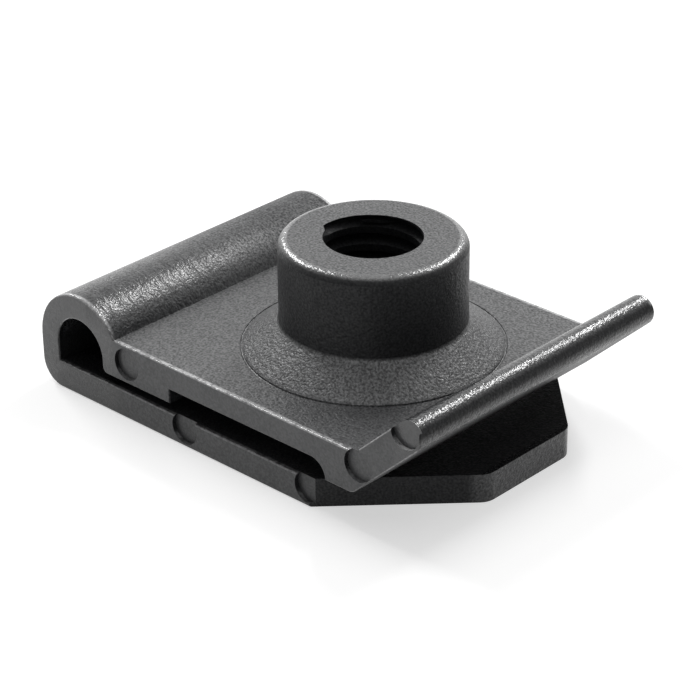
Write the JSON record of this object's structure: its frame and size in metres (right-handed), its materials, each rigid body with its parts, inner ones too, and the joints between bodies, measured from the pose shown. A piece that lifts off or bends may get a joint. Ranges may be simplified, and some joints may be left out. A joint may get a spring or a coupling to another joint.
{
  "type": "u clip speed nut",
  "caption": "Push-on U clip nut in black nylon: a flat strip folded round a rolled loop, with a threaded screw boss, a snap bump and a flared lead-in lip.",
  "frame": {"origin": "where the screw axis meets the clip's underside", "axes": "+Z along the screw axis, out through the boss; +X along the strip, from the rolled loop to the lead-in lip; +Y across the strip"},
  "size_m": [0.0268, 0.0178, 0.0103],
  "materials": {
    "clip": "matte, finely grained"
  },
  "bodies": {
    "root": {"u_clip": "clip"}
  },
  "joints": []
}
